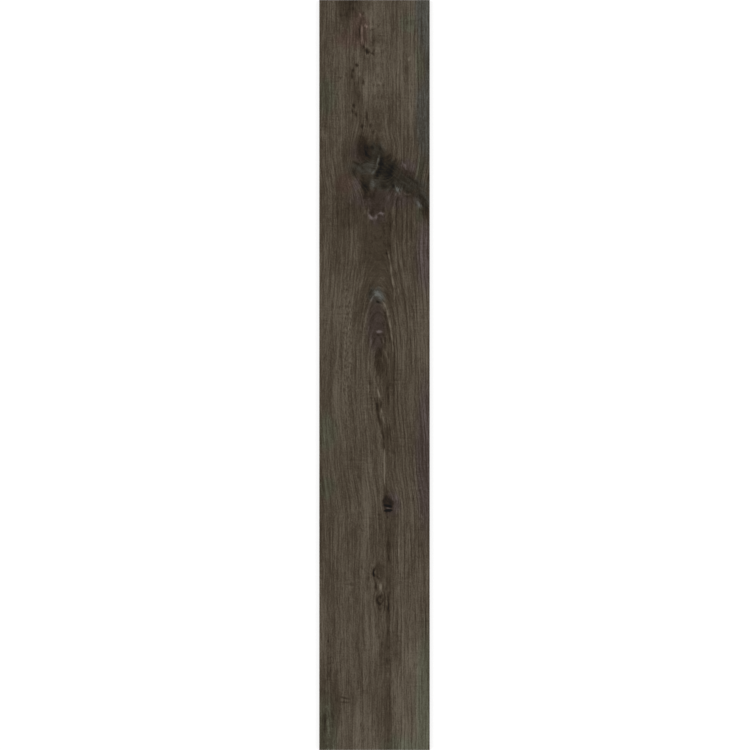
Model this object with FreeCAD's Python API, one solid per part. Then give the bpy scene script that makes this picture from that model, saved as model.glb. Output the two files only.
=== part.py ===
"""Rectified porcelain plank tile with a wood look face, lying on its keyed back.

Sizes are in millimetres. X runs across the plank, Y along it and Z up through its thickness.
The origin is the middle of the back, on the plane of the ribs.
"""

import FreeCAD, Part
import os

# Work size of the plank, after its edges are ground straight and square.
plank_width = 265.0
plank_length = 1800.0
plank_thickness = 10.0

# Small bevel ground along the four upper edges, so that the hard face doesn't chip.
arris = 0.6

# The lower punch presses a grid of shallow pockets into the back, which the adhesive fills.
# The pitches are nominal: a whole, even number of pockets is spread over the back.
pocket_pitch_across = 31.0
pocket_pitch_along = 60.0
pocket_depth = 0.8
pocket_corner_cut = 3.0
rib_width = 4.0

# Plain band between the ground edges and the outermost pockets.
plain_band = 8.0

# How far a cutter reaches out of the back, so that it opens the pocket cleanly.
cutter_overrun = 1.0


def uppermost(solid):
    """The face of a solid that lies highest."""
    return max(solid.Faces, key=lambda face: face.CenterOfMass.z)


def slab():
    """The fired body, ground square, with the arris along its upper edges."""
    corner = FreeCAD.Vector(-plank_width / 2, -plank_length / 2, 0)
    block = Part.makeBox(plank_width, plank_length, plank_thickness, corner)
    return block.makeChamfer(arris, uppermost(block).Edges)


def pocket(width, length):
    """What one pad of the punch takes out of the back.

    The pad has cut corners, a flat end and sides that lean in at 45 degrees, so that it pulls free.
    """
    corner = FreeCAD.Vector(-width / 2, -length / 2, -cutter_overrun)
    height = cutter_overrun + pocket_depth
    pad = Part.makeBox(width, length, height, corner)
    uprights = [edge for edge in pad.Edges if abs(edge.BoundBox.ZLength - height) < 1e-6]
    pad = pad.makeChamfer(pocket_corner_cut, uprights)
    return pad.makeChamfer(pocket_depth, uppermost(pad).Edges)


def even_count(span, pitch):
    """How many pockets fill a span at about this pitch: even, so that a rib crosses the middle."""
    return max(2, 2 * round(span / pitch / 2))


def keying():
    """Every pocket of the back, in one grid centred on the plank, with a rib between neighbours."""
    span_across = plank_width - 2 * plain_band + rib_width
    span_along = plank_length - 2 * plain_band + rib_width
    count_across = even_count(span_across, pocket_pitch_across)
    count_along = even_count(span_along, pocket_pitch_along)
    step_across = span_across / count_across
    step_along = span_along / count_along
    print(f"back: {count_across} x {count_along} pockets, {step_across:.2f} x {step_along:.2f} mm apart")
    one = pocket(step_across - rib_width, step_along - rib_width)
    grid = []
    for i in range(count_across):
        for j in range(count_along):
            x = (i + 0.5 - count_across / 2) * step_across
            y = (j + 0.5 - count_along / 2) * step_along
            grid.append(one.translated(FreeCAD.Vector(x, y, 0)))
    return grid


def plank_tile():
    """The whole tile: one pressed and fired piece."""
    return slab().cut(keying())


def main():
    os.makedirs("parts", exist_ok=True)
    tile = plank_tile()
    size = tile.BoundBox
    print(f"plank_tile: {size.XLength:.1f} x {size.YLength:.1f} x {size.ZLength:.1f} mm")
    tile.exportStep("parts/plank_tile.step")


main()
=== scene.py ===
"""Looks of a porcelain plank tile with a dark oak face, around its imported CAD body."""

import bmesh
import bpy
import math
from collections import namedtuple
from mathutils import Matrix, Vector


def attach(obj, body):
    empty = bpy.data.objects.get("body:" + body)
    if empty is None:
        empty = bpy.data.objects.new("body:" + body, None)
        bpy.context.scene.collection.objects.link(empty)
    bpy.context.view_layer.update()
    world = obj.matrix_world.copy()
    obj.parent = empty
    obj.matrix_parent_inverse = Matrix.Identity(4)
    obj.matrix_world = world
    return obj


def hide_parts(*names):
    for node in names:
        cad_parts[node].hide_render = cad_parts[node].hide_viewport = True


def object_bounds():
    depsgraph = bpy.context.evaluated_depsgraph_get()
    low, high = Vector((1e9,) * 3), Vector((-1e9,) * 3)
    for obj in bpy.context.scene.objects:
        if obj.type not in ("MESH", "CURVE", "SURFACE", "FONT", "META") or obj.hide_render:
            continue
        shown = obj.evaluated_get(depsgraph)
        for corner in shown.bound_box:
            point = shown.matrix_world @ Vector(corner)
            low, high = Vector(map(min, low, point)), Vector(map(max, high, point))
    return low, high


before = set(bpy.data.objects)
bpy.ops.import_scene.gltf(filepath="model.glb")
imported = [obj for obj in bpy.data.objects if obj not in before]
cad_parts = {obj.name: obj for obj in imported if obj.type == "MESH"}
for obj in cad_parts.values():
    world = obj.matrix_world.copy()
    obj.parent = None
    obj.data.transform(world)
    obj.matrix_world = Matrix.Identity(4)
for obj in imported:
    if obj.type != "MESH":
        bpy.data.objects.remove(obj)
cad_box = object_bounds()

# The tile
# One slab of porcelain: the clay is pressed with the wood relief on its face and keying on its
# back, printed by ink jet with an oak board, glazed matt, fired, and ground square on its edges.
# Places on the face are in millimetres from its middle, x across the plank and y along it.

plank_width = (cad_box[1].x - cad_box[0].x) * 1000
plank_length = (cad_box[1].y - cad_box[0].y) * 1000
face_height = cad_box[1].z * 1000


class Field:
    """A number at each point of the plank, worked out by Math nodes in a geometry or a shader tree."""

    def __init__(self, tree, socket):
        self.tree = tree
        self.socket = socket

    def node(self, kind, values, **settings):
        """A node of this kind with its inputs, in their order, set to numbers or fed from fields."""
        made = self.tree.nodes.new(kind)
        for name, setting in settings.items():
            setattr(made, name, setting)
        for socket, value in zip(made.inputs, values):
            if isinstance(value, Field):
                self.tree.links.new(value.socket, socket)
            elif value is not None:
                socket.default_value = value
        return made

    def math(self, operation, *others):
        """What a Math node makes of this field and the others."""
        made = self.node("ShaderNodeMath", (self, *others), operation=operation)
        return Field(self.tree, made.outputs[0])

    def __add__(self, other):
        return self.math("ADD", other)

    def __sub__(self, other):
        return self.math("SUBTRACT", other)

    def __mul__(self, other):
        return self.math("MULTIPLY", other)

    def clamped(self):
        """Held between 0 and 1.

        Two nodes do it: the renderer would run a Math node's own clamp after all else, and it has no
        room for so many waiting values.
        """
        return self.math("MAXIMUM", 0.0).math("MINIMUM", 1.0)

    def rise(self, start, end, low=0.0, high=1.0):
        """Low up to start, high from end on, and a smooth slope between them."""
        values = (self, start, end, low, high)
        made = self.node("ShaderNodeMapRange", values, interpolation_type="SMOOTHSTEP", clamp=False)
        return Field(self.tree, made.outputs[0])


def noise(across, along, wide, long, layer=0.0, detail=2.0):
    """Even noise from -0.5 to 0.5, in patches of about this width and length. A layer is one pattern."""
    spot = across.node("ShaderNodeCombineXYZ", (across * (1 / wide), along * (1 / long), layer))
    made = across.node("ShaderNodeTexNoise", (Field(across.tree, spot.outputs[0]), None, 1.0, detail))
    return Field(across.tree, made.outputs[0]) - 0.5


# A stain, streak or crack of the board: an oval that runs from one point to another. Its tone says
# how much lighter or darker it is, where 1 is the whole way from black to white. Firmness 1 fades
# from the middle outwards, and more than 1 keeps a flat middle inside a firmer rim.
Mark = namedtuple("Mark", "start end half_width tone firmness", defaults=(1.0,))


def mark_group(kind):
    """A node group that adds one mark to a tone: its oval falls from 1 in the middle to 0 at the rim."""
    group = bpy.data.node_groups.new("mark", kind)
    names = (
        "X", "Y", "Along x", "Along y", "Along start", "Across x", "Across y", "Across start",
        "Firmness", "Mark tone", "Tone",
    )
    for name in names:
        group.interface.new_socket(name=name, in_out="INPUT", socket_type="NodeSocketFloat")
    group.interface.new_socket(name="Tone", in_out="OUTPUT", socket_type="NodeSocketFloat")
    given, made = group.nodes.new("NodeGroupInput"), group.nodes.new("NodeGroupOutput")
    x, y, along_x, along_y, along_start, across_x, across_y, across_start, firmness, mark_tone, tone = (
        Field(group, given.outputs[name]) for name in names
    )
    along = x * along_x + y * along_y + along_start
    across = x * across_x + y * across_y + across_start
    inside = (firmness - (along * along + across * across) * firmness).clamped()
    group.links.new((inside * inside * mark_tone + tone).socket, made.inputs["Tone"])
    return group


mark_groups = {kind: mark_group(kind) for kind in ("GeometryNodeTree", "ShaderNodeTree")}


def marked(x, y, mark, tone=0.0):
    """The tone with this mark on it."""
    run_x, run_y = mark.end[0] - mark.start[0], mark.end[1] - mark.start[1]
    run = math.hypot(run_x, run_y)
    middle_x, middle_y = (mark.start[0] + mark.end[0]) / 2, (mark.start[1] + mark.end[1]) / 2
    along_x, along_y = 2 * run_x / run**2, 2 * run_y / run**2
    across_x, across_y = run_y / run / mark.half_width, -run_x / run / mark.half_width
    along_start = -middle_x * along_x - middle_y * along_y
    across_start = -middle_x * across_x - middle_y * across_y
    oval = (along_x, along_y, along_start, across_x, across_y, across_start)
    values = (x, y, *oval, mark.firmness, mark.tone, tone)
    kind = x.tree.bl_idname
    made = x.node(kind.replace("Tree", "Group"), values, node_tree=mark_groups[kind])
    return Field(x.tree, made.outputs["Tone"])


def toned(x, y, marks, tone=0.0):
    """The tone with all these marks on it."""
    for mark in marks:
        tone = marked(x, y, mark, tone)
    return tone


# The knots that the grain flows around. Here the tone is how far a knot pushes the grain aside.
pushes = (
    Mark((-20, 625), (20, 385), 85, 0.75),
    Mark((34, -262), (34, -346), 30, 0.7),
    Mark((2, -438), (4, -516), 26, 0.7),
    Mark((13, -508), (13, -580), 26, 0.7),
)

# How much the pattern of the grain changes with each millimetre from the pith line to a side, so
# that the two sides of the board differ.
side_change = 0.012


def board(x, y):
    """On which side of the pith line of the scanned board a point lies, and on which growth ring.

    The rings are cones in the log. The saw cut through them leaves arches below the large knot, which
    narrow to the pith line where the cut meets the pith, and near straight lines beside them.
    """
    # The grain wavers, and bends around the knots.
    bent_x = x + noise(x, y, 60, 260, 1.0, 1.0) * 7 + noise(x, y, 18, 70, 2.0, 1.0) * 3
    for knot in pushes:
        knot_x = (knot.start[0] + knot.end[0]) / 2
        bent_x = bent_x - (bent_x - knot_x) * marked(x, y, knot)

    # Where the pith line runs, and how deep under the cut the pith lies.
    middle = y.rise(-330, -210, 34, 20) + y.rise(-210, -30, 0, -11)
    depth = y.rise(-20, 320, 3, 56) * y.rise(430, 560, 1.0, 0.3)
    aside = bent_x - middle
    ring = aside.math("MULTIPLY_ADD", aside, depth * depth).math("SQRT")
    return aside * side_change, ring


# The relief is what the upper punch presses into the face, in millimetres. It cuts a hair into the
# whole face: where it only touched it, slivers would stay.
groove_depth = 0.4
least_depth = 0.002
punch_overhang = 3.0
punch_height = 10.0
punch_steps_across = 140
punch_steps_along = 620

# Corners that lie closer together than this are one corner, in metres.
same_place = 1e-5

# Pits that the punch leaves in the knots and along the cracks. Here the tone is how much deeper they are.
pits = (
    Mark((20, 500), (-6, 472), 9, 0.6),
    Mark((-26, 566), (-20, 516), 16, 0.35),
    Mark((26, 524), (30, 470), 18, 0.35),
    Mark((70, 478), (128, 400), 16, 0.35),
    Mark((-26, 786), (-8, 766), 8, 0.5),
    Mark((33, -300), (33, -334), 16, 0.5),
    Mark((0, -458), (0, -492), 12, 0.5),
    Mark((13, -526), (13, -562), 14, 0.5),
)


def relief(x, y):
    """How deep the face lies below the top of the body, from 0 to 1."""
    side, ring = board(x, y)
    grain = noise(ring, y, 7, 160, side, 1.0) + noise(ring, y, 3.5, 90, side + 5.0, 0.0) * 0.6
    swell = noise(x, y, 70, 300, 8.0, 0.0)
    return (toned(x, y, pits) + (grain + swell * 0.5).rise(-0.25, 0.35, 0.0, 0.8)).clamped()


def press_tree():
    """Geometry nodes that press the relief into the body with a punch and put on the finishes."""
    tree = bpy.data.node_groups.new("press_and_print", "GeometryNodeTree")
    sockets = tree.interface
    sockets.new_socket(name="Body", in_out="INPUT", socket_type="NodeSocketGeometry")
    for name in ("Punch width", "Punch length", "Punch height", "Face height", "Groove depth", "Least depth"):
        sockets.new_socket(name=name, in_out="INPUT", socket_type="NodeSocketFloat")
    for name in ("Print", "Bare body"):
        sockets.new_socket(name=name, in_out="INPUT", socket_type="NodeSocketMaterial")
    sockets.new_socket(name="Tile", in_out="OUTPUT", socket_type="NodeSocketGeometry")
    new, link = tree.nodes.new, tree.links.new
    given, made = new("NodeGroupInput"), new("NodeGroupOutput")

    grid = new("GeometryNodeMeshGrid")
    link(given.outputs["Punch width"], grid.inputs["Size X"])
    link(given.outputs["Punch length"], grid.inputs["Size Y"])
    grid.inputs["Vertices X"].default_value = punch_steps_across + 1
    grid.inputs["Vertices Y"].default_value = punch_steps_along + 1

    # The sole of the punch is a fine grid with the relief on it.
    place, parts = new("GeometryNodeInputPosition"), new("ShaderNodeSeparateXYZ")
    link(place.outputs[0], parts.inputs[0])
    x, y, z = (Field(tree, parts.outputs[i]) * 1000 for i in range(3))
    top = Field(tree, given.outputs["Face height"])
    depth = relief(x, y) * Field(tree, given.outputs["Groove depth"])
    depth = depth + Field(tree, given.outputs["Least depth"])
    height = (top - depth) * 0.001
    lift = height.node("ShaderNodeCombineXYZ", (0.0, 0.0, height))
    shape = new("GeometryNodeSetPosition")
    link(grid.outputs["Mesh"], shape.inputs["Geometry"])
    link(lift.outputs[0], shape.inputs["Offset"])

    stroke = new("GeometryNodeExtrudeMesh")
    link(shape.outputs[0], stroke.inputs["Mesh"])
    stroke.inputs["Offset"].default_value = (0, 0, 1)
    link((Field(tree, given.outputs["Punch height"]) * 0.001).socket, stroke.inputs["Offset Scale"])
    stroke.inputs["Individual"].default_value = False
    sole = new("GeometryNodeFlipFaces")
    punch = new("GeometryNodeJoinGeometry")
    closed = new("GeometryNodeMergeByDistance")
    link(shape.outputs[0], sole.inputs["Mesh"])
    link(stroke.outputs["Mesh"], punch.inputs[0])
    link(sole.outputs[0], punch.inputs[0])
    link(punch.outputs[0], closed.inputs["Geometry"])
    closed.inputs["Distance"].default_value = same_place

    pressed = new("GeometryNodeMeshBoolean")
    pressed.operation, pressed.solver = "DIFFERENCE", "MANIFOLD"
    link(given.outputs["Body"], pressed.inputs["Mesh 1"])
    link(closed.outputs["Geometry"], pressed.inputs["Mesh 2"])

    # The face is what looks up and lies in the upper half. The arris leans too far to count.
    normal, leaning = new("GeometryNodeInputNormal"), new("ShaderNodeSeparateXYZ")
    link(normal.outputs[0], leaning.inputs[0])
    upward = Field(tree, leaning.outputs[2]).math("GREATER_THAN", 0.85)
    printed = upward * z.math("GREATER_THAN", top * 0.5)
    smooth_rest, smooth_face = new("GeometryNodeSetShadeSmooth"), new("GeometryNodeSetShadeSmooth")
    link(pressed.outputs["Mesh"], smooth_rest.inputs["Geometry"])
    smooth_rest.inputs["Shade Smooth"].default_value = False
    link(smooth_rest.outputs[0], smooth_face.inputs["Geometry"])
    link(printed.socket, smooth_face.inputs["Selection"])

    single = new("GeometryNodeRealizeInstances")
    body, glaze = new("GeometryNodeSetMaterial"), new("GeometryNodeSetMaterial")
    link(smooth_face.outputs[0], single.inputs[0])
    link(single.outputs[0], body.inputs["Geometry"])
    link(given.outputs["Bare body"], body.inputs["Material"])
    link(body.outputs[0], glaze.inputs["Geometry"])
    link(printed.socket, glaze.inputs["Selection"])
    link(given.outputs["Print"], glaze.inputs["Material"])
    link(glaze.outputs[0], made.inputs[0])
    return tree


def new_material(name):
    """A material with its shader, and the place in millimetres that its pattern reads."""
    made = bpy.data.materials.new(name)
    made.use_nodes = True
    tree = made.node_tree
    place, parts = tree.nodes.new("ShaderNodeTexCoord"), tree.nodes.new("ShaderNodeSeparateXYZ")
    tree.links.new(place.outputs["Object"], parts.inputs[0])
    x, y, z = (Field(tree, parts.outputs[i]) * 1000 for i in range(3))
    return made, tree.nodes["Principled BSDF"], (x, y, z)


def linear(red, green, blue):
    """The linear colour of a screen colour from 0 to 255."""
    shares = (value / 255 for value in (red, green, blue))
    return (*(s / 12.92 if s <= 0.04045 else ((s + 0.055) / 1.055) ** 2.4 for s in shares), 1.0)


def ramp(tone, stops):
    """The colour of a tone, between these (tone, colour) stops."""
    made = tone.node("ShaderNodeValToRGB", (tone,))
    band = made.color_ramp.elements
    band[0].position, band[0].color = stops[0][0], linear(*stops[0][1])
    band[1].position, band[1].color = stops[-1][0], linear(*stops[-1][1])
    for position, colour in stops[1:-1]:
        band.new(position).color = linear(*colour)
    return made.outputs[0]


# Wide bands where the whole board is a little lighter or darker.
bands = (
    Mark((95, 1000), (85, 540), 60, 0.06, 1.5),
    Mark((-5, 1000), (8, 600), 30, 0.08, 1.5),
    Mark((36, 470), (36, -680), 22, -0.10, 1.6),
    Mark((31, -560), (33, -1060), 12, -0.10, 2.0),
    Mark((-14, -120), (-14, -440), 18, 0.06),
    Mark((-12, -480), (-12, -780), 18, 0.06),
    Mark((-75, 300), (-75, -300), 30, 0.04, 1.5),
    Mark((95, -560), (95, -1150), 60, 0.13, 1.5),
    Mark((-30, -740), (-20, -1050), 40, 0.12, 1.3),
    Mark((-122, -640), (-112, -960), 40, -0.10, 1.5),
    Mark((-128, 500), (-128, 280), 26, -0.05, 1.3),
    Mark((80, 350), (80, 110), 44, -0.05, 1.2),
    Mark((-13, 930), (-12, 850), 16, -0.12),
    Mark((0, 850), (4, 770), 22, -0.10),
    Mark((-45, 810), (-45, 690), 26, 0.10, 1.2),
    Mark((36, 800), (36, 640), 34, 0.08, 1.3),
    Mark((127, 790), (127, 710), 14, -0.14),
    Mark((-14, 740), (-14, 640), 24, 0.13, 1.2),
    Mark((84, 750), (84, 570), 36, 0.09),
    Mark((-104, 330), (-104, 30), 20, 0.07, 1.3),
    Mark((72, 310), (72, 230), 9, -0.16),
    Mark((53, 240), (52, -300), 14, -0.07, 1.4),
    Mark((-20, 120), (-20, 0), 10, -0.09),
    Mark((-130, -40), (-130, -560), 14, -0.10, 1.5),
    Mark((-32, -50), (-32, -200), 24, 0.09),
    Mark((-50, -290), (-50, -370), 16, 0.09),
    Mark((0, -560), (2, -720), 16, 0.11),
    Mark((52, -640), (52, -880), 16, 0.08, 1.3),
    Mark((86, -660), (86, -870), 28, -0.08, 1.2),
    Mark((-54, -700), (-54, -860), 14, -0.07),
)

# Soft stains and a few paler spots, in rough order from the top end down.
stains = (
    Mark((-58, 960), (-66, 834), 36, -0.24, 1.2),
    Mark((10, 788), (10, 762), 9, -0.14),
    Mark((-74, 880), (-78, 790), 30, -0.12, 1.2),
    Mark((-34, 860), (-26, 784), 26, -0.12, 1.2),
    Mark((-8, 812), (-6, 780), 12, -0.10, 1.2),
    Mark((-22, 772), (-20, 744), 9, -0.12),
    Mark((-46, 712), (-45, 640), 12, -0.10, 1.3),
    Mark((-27, 590), (-24, 490), 24, -0.32, 1.2),
    Mark((-60, 592), (-54, 458), 36, -0.14),
    Mark((-2, 588), (4, 480), 25, -0.26, 1.2),
    Mark((30, 552), (26, 446), 32, -0.25, 1.2),
    Mark((6, 514), (128, 426), 36, -0.28, 1.3),
    Mark((46, 524), (72, 502), 15, -0.22),
    Mark((78, 430), (116, 398), 15, -0.08),
    Mark((12, 490), (52, 430), 22, -0.12, 1.2),
    Mark((112, 440), (134, 350), 17, -0.20, 1.2),
    Mark((-28, 490), (-20, 412), 17, -0.22, 1.2),
    Mark((6, 452), (66, 446), 15, -0.14),
    Mark((-10, 446), (10, 436), 14, -0.1),
    Mark((56, 446), (126, 424), 14, -0.12),
    Mark((110, 424), (112, 390), 10, -0.12),
    Mark((-58, 426), (-58, 406), 10, 0.14),
    Mark((58, 420), (58, 408), 8, 0.1),
    Mark((-8, 400), (-6, 376), 10, -0.12),
    Mark((-12, 366), (54, 362), 15, -0.12),
    Mark((-34, 452), (-20, 446), 12, -0.1),
    Mark((-18, 520), (-14, 494), 12, -0.12),
    Mark((-70, 500), (6, 460), 30, -0.20, 1.2),
    Mark((-6, 494), (6, 364), 42, -0.20, 1.4),
    Mark((0, 446), (4, 190), 46, -0.14, 1.3),
    Mark((66, 456), (60, 276), 52, -0.10, 1.2),
    Mark((30, 420), (110, 410), 22, -0.08, 1.2),
    Mark((-56, 460), (-50, 306), 40, -0.11, 1.2),
    Mark((-82, 540), (-82, 290), 34, -0.08),
    Mark((122, 560), (122, 330), 26, -0.10, 1.2),
    Mark((-2, 240), (8, 0), 28, -0.13, 1.4),
    Mark((-38, 390), (-34, 50), 24, -0.06, 1.2),
    Mark((11, 84), (12, -20), 14, -0.15, 1.8),
    Mark((29, 46), (32, -70), 7, -0.12, 1.3),
    Mark((10, -52), (11, -106), 8, -0.18, 1.5),
    Mark((30, -110), (34, -190), 12, -0.06, 1.3),
    Mark((33, -282), (33, -334), 13, -0.22, 1.8),
    Mark((38, -338), (62, -338), 8, -0.12),
    Mark((44, -300), (60, -318), 9, -0.08),
    Mark((14, -438), (16, -506), 8, -0.14, 1.4),
    Mark((2, -456), (2, -498), 14, -0.08),
    Mark((14, -518), (12, -566), 12, -0.10, 1.4),
    Mark((29, -500), (29, -584), 8, -0.10, 1.3),
    Mark((-84, -650), (-80, -850), 30, -0.06, 1.3),
    Mark((-124, -716), (-120, -752), 10, -0.12),
    Mark((-130, -750), (-112, -772), 11, -0.14),
    Mark((-94, -766), (-78, -788), 10, -0.16),
    Mark((-114, -790), (-114, -900), 20, -0.08, 1.3),
    Mark((-110, 602), (-110, 568), 9, 0.08),
    Mark((-36, 510), (-58, 470), 13, -0.08),
    Mark((-20, 488), (-18, 456), 9, 0.10),
    Mark((44, 506), (46, 484), 9, 0.09),
    Mark((5, 490), (7, 468), 9, -0.10),
    Mark((-100, 456), (-98, 436), 9, 0.09),
    Mark((-36, 459), (10, 443), 10, -0.11),
    Mark((28, 436), (64, 427), 10, -0.08),
    Mark((-20, 412), (-18, 388), 11, -0.13),
    Mark((58, 424), (60, 394), 9, 0.11),
    Mark((110, 424), (110, 338), 10, -0.10),
    Mark((-8, 380), (-4, 358), 9, -0.11),
    Mark((46, 378), (46, 358), 9, -0.11),
)

# Small dark marks: pin knots, cracks and the black heart of the large knot.
dark_marks = (
    Mark((-58, 880), (-42, 880), 4, -0.1),
    Mark((-66, 884), (-66, 852), 8, -0.09),
    Mark((-81, 884), (-80, 842), 6, -0.14),
    Mark((-27, 874), (-26, 860), 4.5, -0.3),
    Mark((-27, 864), (-26, 846), 5, -0.14),
    Mark((-36, 848), (-35, 804), 3, -0.26),
    Mark((-20, 812), (-17, 786), 3, -0.14),
    Mark((-14, 828), (2, 829), 4, -0.2),
    Mark((40, 829), (53, 830), 5, -0.12),
    Mark((-30, 790), (-22, 784), 4.5, -0.3),
    Mark((-25, 787), (-10, 767), 8.5, -0.56),
    Mark((-13, 774), (2, 768), 4, -0.3),
    Mark((-6, 772), (4, 784), 3.4, -0.2),
    Mark((-48, 746), (-36, 740), 6, -0.42),
    Mark((-48, 738), (-56, 722), 6, -0.32),
    Mark((-56, 728), (-52, 706), 5, -0.34),
    Mark((-68, 730), (-68, 710), 3, -0.2),
    Mark((-92, 713), (-74, 713), 4, -0.2),
    Mark((-27, 712), (-26, 690), 5.5, -0.44),
    Mark((-51, 656), (-49, 638), 5, -0.34),
    Mark((-54, 642), (-52, 624), 4.4, -0.3),
    Mark((-46, 636), (-43, 614), 5, -0.3),
    Mark((-60, 634), (-68, 628), 5, -0.1),
    Mark((-20, 640), (-17, 604), 4.4, -0.34),
    Mark((-31, 604), (-29, 590), 6, -0.3),
    Mark((-10, 608), (-8, 588), 6, -0.28),
    Mark((-2, 592), (-4, 574), 6, -0.2),
    Mark((-24, 570), (-20, 510), 9, -0.16),
    Mark((-5, 554), (-5, 538), 6, -0.16),
    Mark((15, 556), (13, 530), 5, -0.14),
    Mark((-58, 514), (-30, 502), 5, -0.2),
    Mark((-36, 502), (-16, 514), 4, -0.2),
    Mark((18, 526), (14, 488), 9, -0.3),
    Mark((14, 502), (0, 464), 11, -0.34),
    Mark((16, 474), (26, 440), 10, -0.08),
    Mark((-12, 440), (-10, 420), 5, -0.1),
    Mark((-2, 438), (2, 420), 4, -0.1),
    Mark((40, 460), (50, 448), 6, -0.2),
    Mark((68, 432), (82, 422), 6, -0.16),
    Mark((70, 494), (98, 478), 7, -0.12),
    Mark((98, 442), (128, 408), 9, -0.14),
    Mark((38, -178), (52, -192), 6, -0.1),
    Mark((-6, -176), (-5, -194), 7, -0.1),
    Mark((26, -280), (37, -280), 3, -0.18),
    Mark((31, -334), (31, -350), 4, -0.3),
    Mark((2, -336), (22, -333), 2.4, -0.18),
    Mark((2, -343), (22, -347), 2.4, -0.18),
    Mark((14, -299), (26, -304), 4, -0.12),
    Mark((10, -350), (16, -374), 4, -0.12),
    Mark((4, -454), (-5, -478), 5, -0.28),
    Mark((-4, -466), (-1, -486), 6, -0.46),
    Mark((-3, -480), (21, -494), 5, -0.24),
    Mark((-14, -466), (-14, -500), 3.4, -0.18),
    Mark((2, -490), (6, -528), 5, -0.3),
    Mark((21, -524), (6, -538), 5.6, -0.24),
    Mark((7, -530), (6, -552), 5.6, -0.3),
    Mark((5, -544), (19, -554), 6, -0.3),
    Mark((12, -552), (13, -570), 7, -0.22),
    Mark((24, -500), (24, -580), 3, -0.2),
    Mark((34, -514), (33, -584), 3.4, -0.26),
    Mark((14, -618), (10, -636), 4, -0.1),
    Mark((18, -634), (18, -658), 6, -0.14),
    Mark((32, -674), (31, -698), 5, -0.16),
    Mark((36, -690), (37, -866), 2.6, -0.08),
    Mark((-112, -633), (-111, -643), 2.8, -0.3),
    Mark((-116, -678), (-95, -678), 2.6, -0.14),
    Mark((-115, -691), (-93, -691), 2.6, -0.18),
    Mark((-106, -700), (-110, -732), 5, -0.12),
    Mark((-120, -798), (-119, -858), 7, -0.14),
    Mark((-104, -800), (-97, -832), 5, -0.12),
    Mark((4, -792), (6, -806), 4, -0.12),
)

# Light streaks around the knots, and one dark streak between two of them.
light_marks = (
    Mark((-35, 872), (-33, 856), 4, 0.36),
    Mark((-33, 846), (-29, 810), 6, 0.42),
    Mark((-31, 824), (-28, 784), 6, 0.48),
    Mark((82, 764), (84, 750), 5, 0.24),
    Mark((-25, 842), (-16, 832), 5, 0.34),
    Mark((-16, 836), (4, 835), 3, 0.14),
    Mark((-37, 730), (-34, 714), 3.4, 0.26),
    Mark((5, 706), (18, 694), 6, 0.14),
    Mark((13, 536), (4, 490), 4, 0.42),
    Mark((8, 500), (-10, 476), 4.4, 0.24),
    Mark((0, 474), (-3, 448), 12, 0.07, 1.2),
    Mark((-52, 496), (-18, 484), 10, 0.05, 1.5),
    Mark((-128, 600), (-120, 556), 14, 0.14),
    Mark((-8, 504), (4, 484), 10, -0.1),
    Mark((-10, 518), (-6, 496), 10, 0.04, 1.6),
    Mark((-5, 480), (-6, 430), 9, 0.20, 1.2),
    Mark((46, 462), (62, 430), 4, 0.36),
    Mark((58, 438), (98, 430), 4, 0.2),
    Mark((96, 420), (122, 394), 6, 0.36),
    Mark((62, 518), (82, 486), 5, 0.26),
    Mark((-18, 390), (2, 367), 6, 0.4),
    Mark((-4, 366), (11, 390), 6, 0.44),
    Mark((5, 388), (27, 386), 6, 0.42),
    Mark((-4, 206), (21, 179), 8.5, 0.24, 1.3),
    Mark((-30, -246), (-27, -304), 6, 0.08),
    Mark((-8, -450), (2, -464), 4, 0.12),
    Mark((1, -468), (1, -481), 2.4, 0.28),
    Mark((14, -494), (15, -522), 6.4, 0.36),
    Mark((12, -535), (19, -541), 3, 0.18),
    Mark((29, -506), (29, -566), 2.2, 0.14),
    Mark((58, -402), (58, -446), 2.4, 0.24),
    Mark((-124, -790), (-108, -801), 4, 0.14),
    Mark((-114, -806), (-106, -890), 5, 0.24),
)

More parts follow.
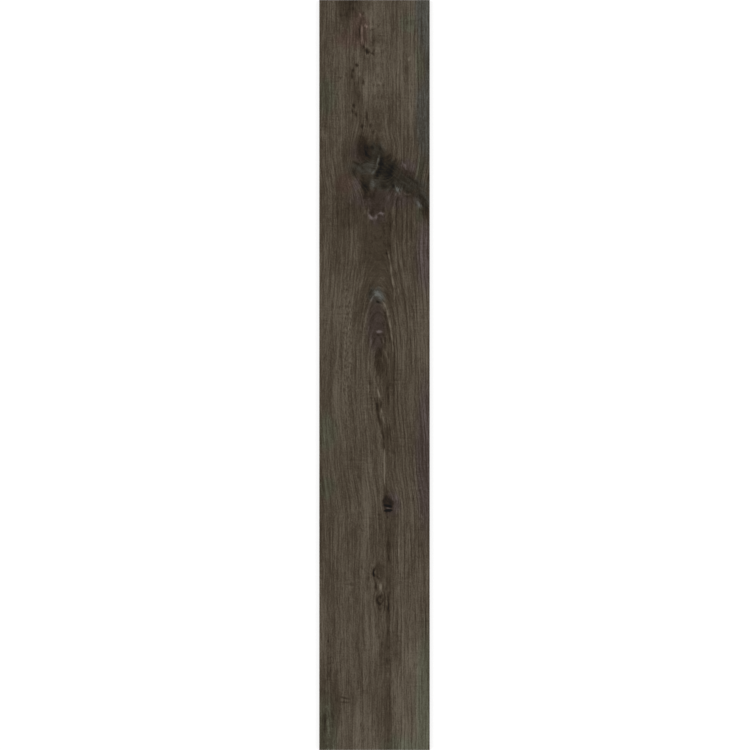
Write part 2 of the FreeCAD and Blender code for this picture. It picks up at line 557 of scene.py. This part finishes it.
# Growth rings that stand out: in the arches below the large knot, along the pith, in the small knot
# below the arches and at the foot.
ring_lines = (
    Mark((27, 300), (30, 286), 3.4, -0.16),
    Mark((32, 304), (38, 262), 3.6, 0.34),
    Mark((37, 276), (42, 232), 3.8, 0.4),
    Mark((41, 244), (47, 204), 3.6, 0.36),
    Mark((46, 216), (49, 168), 3.2, 0.28),
    Mark((36, 250), (42, 204), 4, -0.1),
    Mark((56, 214), (58, 188), 3, 0.26),
    Mark((-6, 208), (-14, 188), 7, -0.16),
    Mark((0, 180), (17, 171), 4.6, -0.32),
    Mark((-4, 190), (-11, 170), 3.2, 0.16),
    Mark((20, 178), (30, 154), 4.2, 0.36),
    Mark((28, 164), (35, 134), 4.2, 0.36),
    Mark((33, 144), (41, 98), 4.2, 0.36),
    Mark((39, 112), (44, 72), 4, 0.24),
    Mark((43, 84), (46, 42), 3.4, 0.22),
    Mark((23, 158), (30, 124), 4.4, -0.2),
    Mark((28, 134), (36, 94), 5, -0.24),
    Mark((34, 108), (39, 70), 4, -0.18),
    Mark((24, 96), (28, 70), 4.4, -0.16),
    Mark((32, 62), (34, 34), 4.4, -0.18),
    Mark((-4, 160), (-2, 112), 4, -0.08),
    Mark((0, 104), (23, 104), 5.4, 0.44),
    Mark((1, 97), (17, 95), 3.4, -0.2),
    Mark((3, 96), (-4, 68), 3.4, -0.18),
    Mark((14, 96), (18, 70), 3.4, -0.12),
    Mark((19, 98), (24, 66), 3, 0.2),
    Mark((-5, 92), (-12, 60), 4.4, 0.22),
    Mark((25, 66), (31, 34), 3, 0.24),
    Mark((21, 60), (26, 20), 3, -0.2),
    Mark((-14, 42), (-14, 2), 3, 0.14),
    Mark((-11, 4), (-11, -44), 3, -0.2),
    Mark((-14, -16), (-14, -46), 3, 0.24),
    Mark((24, 0), (32, -12), 4, 0.16),
    Mark((31, -12), (33, -96), 5, -0.26),
    Mark((44, -10), (60, -14), 5, -0.12),
    Mark((5, -28), (15, -62), 3.6, 0.42),
    Mark((1, -44), (10, -96), 6, -0.22),
    Mark((14, -74), (19, -98), 3.2, 0.34),
    Mark((18, -92), (25, -120), 3.2, 0.3),
    Mark((8, -86), (19, -138), 6.4, -0.3),
    Mark((17, -122), (23, -164), 5, -0.32),
    Mark((22, -150), (24, -192), 3.4, -0.26),
    Mark((32, -104), (34, -172), 11, -0.1),
    Mark((24, -168), (24, -270), 2.6, 0.33, 2.6),
    Mark((30, -176), (42, -188), 6, -0.1),
    Mark((19, -311), (46, -317), 4, -0.4, 1.6),
    Mark((19, -326), (46, -324), 4, -0.44, 1.8),
    Mark((22, -318), (45, -321), 2.6, 0.34),
    Mark((31, -340), (34, -400), 8, -0.12, 1.4),
    Mark((33, -372), (34, -452), 6, -0.16, 1.4),
    Mark((-90, -770), (-54, -779), 4, -0.24),
    Mark((-90, -784), (-54, -786), 4, -0.22),
)

# The knots' own wood, where the grain is too short to show. Here the tone is how much of it is lost.
short_grained = (
    Mark((-26, 604), (-8, 400), 52, -0.8, 1.5),
    Mark((-10, 526), (140, 404), 44, -0.8, 1.6),
    Mark((4, 216), (8, 40), 20, -0.5, 1.5),
    Mark((0, 460), (2, 230), 44, -0.35, 1.4),
    Mark((4, 330), (4, 196), 36, -0.55, 1.5),
)

# The branch of the large knot, which was sawn along its length, and a strip of speckled grain.
branch = Mark((-16, 524), (146, 402), 40, 1.0, 1.5)
speckled = Mark((-65, 290), (-65, -180), 14, 1.0, 2.0)


def patches(*places):
    """Soft patches where the smoke left the oak a hue of its own: start, end and half width of each."""
    return tuple(Mark(*place, tone=1.0, firmness=1.4) for place in places)


rust = patches(
    ((-35, 880), (-35, 804), 30),
    ((-112, 804), (4, 804), 30),
    ((-103, 458), (-44, 458), 30),
)
plum = patches(
    ((-35, 566), (-35, 504), 30),
    ((50, 497), (110, 497), 30),
    ((-44, 484), (-44, 432), 16),
    ((-90, 420), (130, 420), 30),
    ((4, 413), (4, 351), 30),
    ((124, 400), (124, 172), 35),
    ((4, 198), (4, 28), 29),
    ((124, 55), (124, -443), 35),
    ((42, -274), (42, -346), 29),
)
slate = patches(
    ((124, 1010), (124, 730), 35),
    ((130, 806), (130, 684), 14),
    ((124, 756), (124, 468), 35),
    ((4, 566), (4, 504), 30),
    ((-84, 497), (92, 497), 29),
    ((-62, 458), (169, 458), 29),
    ((115, 450), (115, 390), 30),
    ((4, 220), (4, 160), 28),
)
moss = patches(
    ((80, 872), (80, 812), 30),
    ((109, 804), (109, 689), 15),
    ((-118, 730), (-118, 609), 39),
    ((109, 527), (109, 467), 15),
    ((109, 412), (109, 352), 15),
    ((-118, -77), (-118, -197), 39),
    ((-118, -236), (-118, -306), 39),
    ((124, -530), (124, -1070), 35),
    ((-118, -728), (-118, -1017), 39),
    ((0, -900), (122, -900), 50),
)

# Each hue's red, green and blue as a share of the board's own. Where two meet, the first one wins.
hues = (
    (rust, (1.0, 0.84, 0.9)),
    (plum, (0.955, 0.912, 1.18)),
    (slate, (0.83, 1.013, 1.23)),
    (moss, (0.905, 1.09, 1.027)),
)


def tinted(colour, amount, tint):
    """The colour multiplied by a tint, as far as the amount says."""
    made = amount.node("ShaderNodeMix", (), data_type="RGBA", blend_type="MULTIPLY")
    amount.tree.links.new(amount.socket, made.inputs["Factor"])
    amount.tree.links.new(colour, made.inputs[6])
    made.inputs[7].default_value = (*tint, 1.0)
    return made.outputs[2]


# The oak's colours from its darkest tone to its lightest, and the tone of plain wood.
oak_colours = ((0.0, (6, 3, 1)), (0.25, (43, 32, 17)), (0.5, (69, 59, 46)), (1.0, (121, 112, 98)))
plain_tone = 0.57
year_width = 8.4


def grown(x, y, side, ring):
    """The straight grain: growth rings, the dark lines of late wood and the open pores."""
    grain = noise(ring, y, 24, 420, side, 1.0) * 0.34
    grain = grain + noise(ring, y, 3.6, 110, side + 3.0, 1.0) * 0.42
    grain = grain + noise(ring, y, 2.0, 22, side + 6.0, 1.0) * 0.34

    # Beside the arches each year's growth ends in a thin dark line.
    year = (ring + noise(x, y, 12, 90, 20.0, 1.0) * 3) * (1 / year_width)
    line = year.math("FRACT").math("SUBTRACT", 0.5).math("ABSOLUTE").rise(0.2, 0.0)
    strength = noise(ring, y, 26, 160, side + 30.0, 1.0).rise(-0.2, 0.2, 0.02, 0.12)
    grain = grain - line * (strength * x.rise(10, 60, 0.4, 1.6))

    # The open pores of the oak are thin dark dashes.
    pore = noise(ring, y, 0.9, 13, side + 9.0, 0.0).rise(0.08, 0.2, 0.0, 0.13)
    return grain - pore * noise(x, y, 30, 90, 32.0, 0.0).rise(-0.1, 0.1, 0.3, 1.0)


def knotted(x, y, grain):
    """The grain with the wood of the knots, which shows less of it and is mottled."""
    shown = toned(x, y, short_grained, 1.0).rise(0.1, 1.0, 0.2, 1.0)

    # Places along the branch, which leaves to the lower right, and across it.
    out, over = x * 0.8 - y * 0.6, x * 0.6 + y * 0.8
    tone = grain * shown + noise(out, over, 3.4, 3.4, 9.0, 1.0) * 0.3
    tone = tone + noise(out, over, 13, 9, 10.0, 3.0) * (shown.math("MULTIPLY_ADD", -0.4, 0.4))

    # The branch has its own grain, which runs out with it to the edge.
    limb = over + noise(x, y, 30, 30, 44.0, 2.0) * 9
    limb_grain = noise(limb, out, 1.5, 34, 42.0, 1.0) * 0.2 + noise(limb, out, 4.5, 60, 43.0, 0.0) * 0.24
    return tone + limb_grain * marked(x, y, branch)


def sawn(x, y, tone):
    """The tone with the ripples that the saw left across the grain here and there, and the speckled strip."""
    rippled = noise(x, y, 40, 90, 16.0, 0.0).rise(-0.02, 0.16)
    tone = tone + noise(x, y, 34, 4.8, 17.0, 1.0) * 0.18 * rippled
    return tone + noise(x, y, 3.4, 8.0, 18.0, 0.0) * 0.36 * marked(x, y, speckled)


def stained(x, y, side, ring, tone):
    """The tone with the bands, stains, cracks and standing rings of the board on it.

    A stain soaks along the fibres, some of which take more of it than others. The fibre bends both of
    a mark's coordinates: if one were ready early, more half-done marks would wait than the renderer holds.
    """
    fibre = noise(ring, y, 1.3, 48, side + 40.0, 2.0)
    soaked = fibre * 1.1 + 1
    edge_x = x + noise(x, y, 24, 32, 12.0, 4.0) * 30 + fibre * 4
    edge_y = y + noise(x, y, 24, 32, 14.0, 4.0) * 36 + fibre * 44
    tone = tone + toned(x, y, bands) + toned(edge_x, edge_y, stains) * soaked
    fine_x = x + noise(x, y, 5, 14, 22.0, 1.0) * 5 + fibre * 1.5
    fine_y = y + noise(x, y, 8, 10, 24.0, 1.0) * 8 + fibre * 10
    tone = tone + toned(fine_x, fine_y, dark_marks) * soaked + toned(fine_x, fine_y, light_marks) * soaked
    line_x = x + noise(x, y, 12, 120, 26.0, 1.0) * 2
    return tone + toned(line_x, y, ring_lines)


def smoked(x, y, colour):
    """The colour with the patches of hue on it."""
    hue_x = x + noise(x, y, 12, 50, 34.0, 2.0) * 16
    hue_y = y + noise(x, y, 12, 50, 36.0, 2.0) * 40
    free = 1.0
    for places, tint in hues:
        share = toned(hue_x, hue_y, places).clamped() * free
        colour = tinted(colour, share, tint)
        free = (share - free) * -1
    return colour


def print_material():
    """Matt glaze over the ink-jet print of a dark smoked oak board."""
    made, shader, (x, y, _) = new_material("oak_print")
    side, ring = board(x, y)
    grain = grown(x, y, side, ring)
    tone = stained(x, y, side, ring, sawn(x, y, knotted(x, y, grain)))
    colour = ramp((tone + plain_tone).clamped(), oak_colours)
    made.node_tree.links.new(smoked(x, y, colour), shader.inputs["Base Color"])

    # Pores and late wood lie a little deeper in the glaze.
    bump = x.node("ShaderNodeBump", (1.0,))
    bump.inputs["Distance"].default_value = 0.0004
    made.node_tree.links.new(grain.socket, bump.inputs["Height"])
    made.node_tree.links.new(bump.outputs[0], shader.inputs["Normal"])
    shader.inputs["Roughness"].default_value = 0.55
    shader.inputs["Specular IOR Level"].default_value = 0.2
    return made


# The bare body's colours, from its dark specks to the pale wash.
body_colours = ((0.0, (92, 82, 70)), (0.6, (142, 129, 112)), (1.0, (192, 186, 174)))


def body_material():
    """The bare fired body.

    The wheel left streaks along the ground edges, and the kiln's rollers a pale wash on the ribs.
    """
    made, shader, (x, y, z) = new_material("bare_body")
    tone = noise(x, y, 0.8, 0.8, z * 1.2, 3.0) * 0.3 + noise(x, y, 30, 30, z * 0.05, 2.0) * 0.2 + 0.32
    ground = z.rise(0.85, 1.1)
    tone = tone + noise(z, x + y, 0.35, 70, 2.0, 2.0) * 0.6 * ground
    rollers = noise(x, y, 9, 240, 4.0, 3.0) + noise(x, y, 40, 60, 6.0, 3.0)
    tone = tone + rollers.rise(-0.15, 0.3, 0.0, 0.55) * z.rise(0.12, 0.02)
    colour = ramp(tone.clamped(), body_colours)
    made.node_tree.links.new(colour, shader.inputs["Base Color"])
    shader.inputs["Roughness"].default_value = 0.8
    shader.inputs["Specular IOR Level"].default_value = 0.3
    return made


def tile():
    """The pressed, printed tile as one closed mesh, made from the CAD body."""
    merged = bmesh.new()
    merged.from_mesh(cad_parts["plank_tile"].data)
    bmesh.ops.remove_doubles(merged, verts=merged.verts, dist=same_place)
    body = bpy.data.meshes.new("pressed_tile")
    merged.to_mesh(body)
    merged.free()
    piece = bpy.data.objects.new("pressed_tile", body)
    bpy.context.scene.collection.objects.link(piece)
    press = piece.modifiers.new("press", "NODES")
    press.node_group = press_tree()
    inputs = {
        "Punch width": (plank_width + 2 * punch_overhang) / 1000,
        "Punch length": (plank_length + 2 * punch_overhang) / 1000,
        "Punch height": punch_height,
        "Face height": face_height,
        "Groove depth": groove_depth,
        "Least depth": least_depth,
        "Print": print_material(),
        "Bare body": body_material(),
    }
    for socket in press.node_group.interface.items_tree:
        if socket.name in inputs:
            press[socket.identifier] = inputs[socket.name]
    evaluated = piece.evaluated_get(bpy.context.evaluated_depsgraph_get())
    made = bpy.data.meshes.new_from_object(evaluated)
    piece.modifiers.clear()
    piece.data = made
    return piece


plank = tile()
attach(plank, "root")
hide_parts("plank_tile")

# The floor
# A white studio sweep that the tile lies on, a hair below its back. It isn't part of the tile. Its
# sizes are in metres, as those of the light and the camera are.
floor_half = 15.0
floor_drop = 0.0005
floor_grey = 0.36
floor_glow = 0.72
floor_mesh = bpy.data.meshes.new("floor")
corners = [(-floor_half, -floor_half, 0), (floor_half, -floor_half, 0)]
corners += [(floor_half, floor_half, 0), (-floor_half, floor_half, 0)]
floor_mesh.from_pydata(corners, [], [(0, 1, 2, 3)])
floor = bpy.data.objects.new("floor", floor_mesh)
bpy.context.scene.collection.objects.link(floor)
floor.location.z = cad_box[0].z - floor_drop
floor_paint = bpy.data.materials.new("floor_paint")
floor_paint.use_nodes = True
tree = floor_paint.node_tree
paint = tree.nodes["Principled BSDF"]
paint.inputs["Base Color"].default_value = (floor_grey, floor_grey, floor_grey, 1)
paint.inputs["Roughness"].default_value = 1.0
paint.inputs["Specular IOR Level"].default_value = 0.0

# To the camera the grey floor also glows, up to white.
seen, glow = tree.nodes.new("ShaderNodeLightPath"), tree.nodes.new("ShaderNodeMath")
glow.operation = "MULTIPLY"
glow.inputs[1].default_value = floor_glow
tree.links.new(seen.outputs["Is Camera Ray"], glow.inputs[0])
paint.inputs["Emission Color"].default_value = (1, 1, 1, 1)
tree.links.new(glow.outputs[0], paint.inputs["Emission Strength"])
floor_mesh.materials.append(floor_paint)

# The light
# A dim white room and four large soft lamps, low enough around the tile that its matt glaze
# doesn't mirror them to a camera overhead.
world = bpy.data.worlds.new("room")
world.use_nodes = True
world.node_tree.nodes["Background"].inputs["Color"].default_value = (1, 1, 1, 1)
world.node_tree.nodes["Background"].inputs["Strength"].default_value = 0.2
bpy.context.scene.world = world
lamp_power = 55.0
lamp_size = 2.0
lamp_distance = 4.0
lamp_elevation = math.radians(35)
for turn in range(4):
    lamp = bpy.data.lights.new(f"lamp_{turn}", "AREA")
    lamp.shape, lamp.size, lamp.energy = "SQUARE", lamp_size, lamp_power
    holder = bpy.data.objects.new(f"lamp_{turn}", lamp)
    azimuth = math.radians(45 + 90 * turn)
    holder.location = (
        lamp_distance * math.cos(lamp_elevation) * math.cos(azimuth),
        lamp_distance * math.cos(lamp_elevation) * math.sin(azimuth),
        lamp_distance * math.sin(lamp_elevation),
    )
    holder.rotation_euler = (math.pi / 2 - lamp_elevation, 0, azimuth + math.pi / 2)
    bpy.context.scene.collection.objects.link(holder)

# The camera
# A long lens straight above the face. The plank fills the picture from top to bottom, cropped by a
# hair, and its middle is half a pixel left of the picture's.
half_pixel = 0.0012
crop = 0.0006
camera = bpy.data.cameras.new("camera")
camera.lens, camera.sensor_width = 150.0, 36.0
camera.clip_end = 100
eye = bpy.data.objects.new("camera", camera)
distance = (plank_length / 2000 - crop) / (camera.sensor_width / 2 / camera.lens)
eye.location = (half_pixel, 0, face_height / 1000 + distance)
bpy.context.scene.collection.objects.link(eye)
bpy.context.scene.camera = eye
bpy.context.scene.view_settings.view_transform = "Standard"
